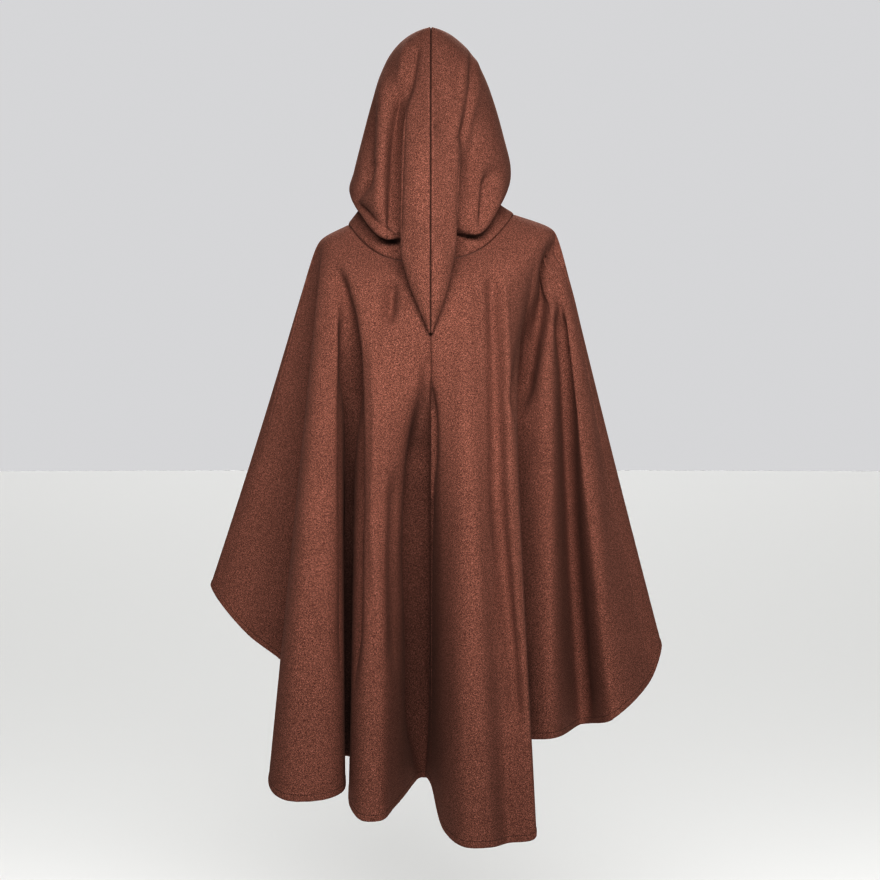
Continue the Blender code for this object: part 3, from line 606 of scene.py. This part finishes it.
def makeHoodHalf(name, node, side, flat, area, levels):
    # the surface is the inside of the cloth, and the wall lies outside it
    inner, neckRow, marks = hoodSurface(levels, side)
    pointColumn = marks[hoodCut["pointColumns"]]
    inner = besideCentre(inner, side)
    normals = hoodNormals(inner, neckRow, pointColumn, side)
    inner = besideCentre(applyCreases(inner, normals, hoodCreases, -1), side)
    normals = hoodNormals(inner, neckRow, pointColumn, side)
    arcs = arcLengths(np.nan_to_num(inner))
    falls = np.nan_to_num(np.linalg.norm(np.diff(inner, axis=0), axis=2))
    toNeck = np.zeros(inner.shape[:2])
    toNeck[:neckRow] = np.cumsum(falls[:neckRow][::-1], axis=0)[::-1]
    toNeck[neckRow + 1 :] = np.cumsum(falls[neckRow:], axis=0)
    fromFace = np.maximum(arcs[:, -1:] - arcs, 0)
    fromFace[neckRow + 1 :] = 1
    seamShare = np.zeros(inner.shape[:2])
    seamShare[: neckRow + 1, pointColumn:] = 1
    moved = rollSeam(arcs) + foldHem(fromFace)
    moved += seamRoll["neckShare"] * rollSeam(toNeck) * seamShare
    walls = np.full(inner.shape[:2], wall)
    widest = np.nanmax(side * inner[neckRow + 1 :, : pointColumn + 1, 0], axis=1)
    walls[neckRow + 1 :] = np.minimum(wall, hoodCut["tipWall"] * widest)[:, None]
    outer = inner + normals * (walls + moved)[..., None]
    outer[neckRow, :, 2] = np.maximum(outer[neckRow, :, 2], inner[neckRow, :, 2])
    outer = besideCentre(outer, side)
    # arcs, the distance from the centre seam, places the painted seam shade and dark thread along that seam
    cut = np.stack([toNeck, fromFace, arcs], axis=2)
    return clothPiece(name, outer, inner, cut, node)


print("hood")
hoodPieces = []
for piece, levels in zip(hoodCut["pieces"], (hoodLeft, hoodRight)):
    hoodPieces.append(makeHoodHalf(*piece, levels))

# Materials

print("materials")


def addNode(tree, kind, **settings):
    node = tree.nodes.new(kind)
    for key, value in settings.items():
        setattr(node, key, value)
    return node


def setInputs(node, values):
    for name, value in values.items():
        node.inputs[name].default_value = value


def addNoise(tree, place, values):
    noise = addNode(tree, "ShaderNodeTexNoise")
    setInputs(noise, values)
    tree.links.new(place.outputs["Object"], noise.inputs["Vector"])
    return noise.outputs["Fac"]


def addRange(tree, value, values):
    spread = addNode(tree, "ShaderNodeMapRange")
    setInputs(spread, values)
    tree.links.new(value, spread.inputs["Value"])
    return spread.outputs["Result"]


def addRamp(tree, value, *stops):
    ramp = addNode(tree, "ShaderNodeValToRGB")
    elements = ramp.color_ramp.elements
    elements[0].position, elements[0].color = stops[0]
    elements[1].position, elements[1].color = stops[-1]
    for position, colour in stops[1:-1]:
        elements.new(position).color = colour
    tree.links.new(value, ramp.inputs["Fac"])
    return ramp.outputs["Color"]


def addScale(tree, colour, share):
    scaled = addNode(tree, "ShaderNodeVectorMath", operation="SCALE")
    tree.links.new(colour, scaled.inputs[0])
    tree.links.new(share, scaled.inputs["Scale"])
    return scaled.outputs["Vector"]


woolLook = {
    "shader": {"Roughness": 0.92, "Specular IOR Level": 0.15, "Sheen Weight": 0.06, "Sheen Roughness": 0.5,
               "Sheen Tint": (0.95, 0.55, 0.42, 1)},
    "dark": (0.34, (0.052, 0.022, 0.015, 1)), "mid": (0.50, (0.140, 0.064, 0.047, 1)),
    "light": (0.68, (0.330, 0.172, 0.136, 1)), "grain": {"Scale": 820, "Detail": 3, "Roughness": 0.65},
    "fleck": {"Scale": 1600, "Detail": 2}, "patch": {"Scale": 14, "Detail": 2},
    "patchTone": {"To Min": 0.90, "To Max": 1.10}, "nap": {"Strength": 0.40, "Distance": 0.0006},
    # seamShade is the painted shade, with dark thread, in a seam's groove
    "seamWidth": 0.0016, "seamCore": 0.3, "seamShade": 0.32, "stitchAt": 0.0100, "stitchWidth": 0.0009,
    "stitchLength": 0.0036, "stitchGap": -0.4, "stitchShade": 0.45,
}


def addMath(tree, operation, first, second):
    node = addNode(tree, "ShaderNodeMath", operation=operation)
    for socket, value in zip(node.inputs, (first, second)):
        if isinstance(value, float):
            socket.default_value = value
        else:
            tree.links.new(value, socket)
    return node.outputs["Value"]


def seamShadeAndStitches(tree):
    # painted shade in the groove of a seam, together with dark seam thread, and darker small stitches along the hem
    cut = addNode(tree, "ShaderNodeAttribute", attribute_name="cut")
    parts = addNode(tree, "ShaderNodeSeparateXYZ")
    tree.links.new(cut.outputs["Vector"], parts.inputs["Vector"])
    seam = addRange(tree, parts.outputs["Z"], {
        "From Min": woolLook["seamWidth"] * woolLook["seamCore"], "From Max": woolLook["seamWidth"],
        "To Min": woolLook["seamShade"], "To Max": 1})
    away = addMath(tree, "ABSOLUTE", addMath(tree, "SUBTRACT", parts.outputs["Y"], woolLook["stitchAt"]), 0.0)
    near = addMath(tree, "LESS_THAN", away, woolLook["stitchWidth"])
    turn = addMath(tree, "MULTIPLY", parts.outputs["X"], 2 * math.pi / woolLook["stitchLength"])
    wave = addMath(tree, "SINE", turn, 0.0)
    stitch = addMath(tree, "MULTIPLY", near, addMath(tree, "GREATER_THAN", wave, woolLook["stitchGap"]))
    stitchTone = addMath(tree, "SUBTRACT", 1.0, addMath(tree, "MULTIPLY", stitch, woolLook["stitchShade"]))
    return addMath(tree, "MULTIPLY", seam, stitchTone)


def makeWool():
    material = bpy.data.materials.new("felted_wool")
    material.use_nodes = True
    tree = material.node_tree
    shader = tree.nodes["Principled BSDF"]
    setInputs(shader, woolLook["shader"])
    place = addNode(tree, "ShaderNodeTexCoord")
    grain = addNoise(tree, place, woolLook["grain"])
    tones = addRamp(tree, grain, woolLook["dark"], woolLook["mid"], woolLook["light"])
    patch = addRange(tree, addNoise(tree, place, woolLook["patch"]), woolLook["patchTone"])
    colour = addScale(tree, addScale(tree, tones, patch), seamShadeAndStitches(tree))
    tree.links.new(colour, shader.inputs["Base Color"])
    nap = addMath(tree, "ADD", grain, addNoise(tree, place, woolLook["fleck"]))
    raised = addNode(tree, "ShaderNodeBump")
    setInputs(raised, woolLook["nap"])
    tree.links.new(nap, raised.inputs["Height"])
    tree.links.new(raised.outputs["Normal"], shader.inputs["Normal"])
    return material


wool = makeWool()
for obj in bodyPieces + hoodPieces:
    obj.data.materials.append(wool)


steelLook = {"shader": {"Metallic": 1.0, "Base Color": (0.20, 0.19, 0.18, 1)}, "wear": {"Scale": 900},
             "roughness": {"To Min": 0.25, "To Max": 0.50}}


def makeSteel():
    material = bpy.data.materials.new("dark_steel_wire")
    material.use_nodes = True
    tree = material.node_tree
    shader = tree.nodes["Principled BSDF"]
    setInputs(shader, steelLook["shader"])
    wear = addNoise(tree, addNode(tree, "ShaderNodeTexCoord"), steelLook["wear"])
    tree.links.new(addRange(tree, wear, steelLook["roughness"]), shader.inputs["Roughness"])
    return material


steel = makeSteel()
for node in ("hook", "eye"):
    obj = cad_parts[node]
    obj.data.materials.clear()
    obj.data.materials.append(steel)

# Floor, light and camera

print("floor, light and camera")
floor = {"height": -1.46, "reach": 60, "segments": 64,
         "shader": {"Base Color": (0.72, 0.72, 0.71, 1), "Roughness": 0.9}}
backdrop = {"behindCamera": (0.48, (0.34, 0.34, 0.35, 1)), "ahead": (0.88, (0.78, 0.78, 0.79, 1)),
            "raised": {"From Min": 0.28, "From Max": 0.60}, "overhead": (0.03, 0.03, 0.031, 1)}
frontSun = {"power": 4.2, "angle": 20, "tilt": 50, "turn": 180}
keyLight = {"place": (0.12, -1.95, 0.45), "target": (0.03, 0, -0.30), "size": (1.6, 0.5), "spread": 110,
            "power": 39}


def makeFloor():
    bm = bmesh.new()
    bmesh.ops.create_circle(bm, cap_ends=True, segments=floor["segments"], radius=floor["reach"])
    bmesh.ops.translate(bm, verts=bm.verts, vec=(0, 0, floor["height"]))
    mesh = bpy.data.meshes.new("studio_floor")
    bm.to_mesh(mesh)
    bm.free()
    obj = bpy.data.objects.new("studio_floor", mesh)
    bpy.context.scene.collection.objects.link(obj)
    material = bpy.data.materials.new("pale_floor")
    material.use_nodes = True
    setInputs(material.node_tree.nodes["Principled BSDF"], floor["shader"])
    mesh.materials.append(material)


def makeSun():
    lamp = bpy.data.lights.new("front", "SUN")
    lamp.energy = frontSun["power"]
    lamp.angle = math.radians(frontSun["angle"])
    obj = bpy.data.objects.new("front", lamp)
    obj.rotation_euler = (math.radians(frontSun["tilt"]), 0, math.radians(frontSun["turn"]))
    bpy.context.scene.collection.objects.link(obj)


def makeBackdrop():
    # pale ahead of the camera, dim overhead and behind the camera, so that the folds keep their shade
    world = bpy.data.worlds.new("pale_studio")
    world.use_nodes = True
    tree = world.node_tree
    split = addNode(tree, "ShaderNodeSeparateXYZ")
    way = addNode(tree, "ShaderNodeTexCoord")
    tree.links.new(way.outputs["Generated"], split.inputs["Vector"])
    turned = addRange(tree, split.outputs["Y"], {"From Min": -1})
    around = addRamp(tree, turned, backdrop["behindCamera"], backdrop["ahead"])
    mix = addNode(tree, "ShaderNodeMix", data_type="RGBA")
    tree.links.new(addRange(tree, split.outputs["Z"], backdrop["raised"]), mix.inputs["Factor"])
    tree.links.new(around, mix.inputs["A"])
    mix.inputs["B"].default_value = backdrop["overhead"]
    tree.links.new(mix.outputs["Result"], tree.nodes["Background"].inputs["Color"])
    bpy.context.scene.world = world


def makeKey():
    lamp = bpy.data.lights.new("key", "AREA")
    lamp.shape = "RECTANGLE"
    lamp.size, lamp.size_y = keyLight["size"]
    lamp.spread = math.radians(keyLight["spread"])
    lamp.energy = keyLight["power"]
    obj = bpy.data.objects.new("key", lamp)
    obj.location = keyLight["place"]
    way = np.array(keyLight["target"]) - np.array(keyLight["place"])
    obj.rotation_euler = (math.atan2(math.hypot(way[0], way[1]), -way[2]), 0, math.atan2(-way[0], way[1]))
    bpy.context.scene.collection.objects.link(obj)


makeFloor()
makeKey()
makeSun()
makeBackdrop()

camera = bpy.data.cameras.new("camera")
camera.sensor_width = view["sensor"]
camera.lens = view["lens"]
camera.clip_end = view["clip"]
cameraObject = bpy.data.objects.new("camera", camera)
cameraObject.location = view["place"]
cameraObject.rotation_euler = (math.radians(90), 0, 0)
bpy.context.scene.collection.objects.link(cameraObject)
bpy.context.scene.camera = cameraObject
bpy.context.scene.view_settings.view_transform = view["transform"]
bpy.context.scene.view_settings.gamma = view["gamma"]
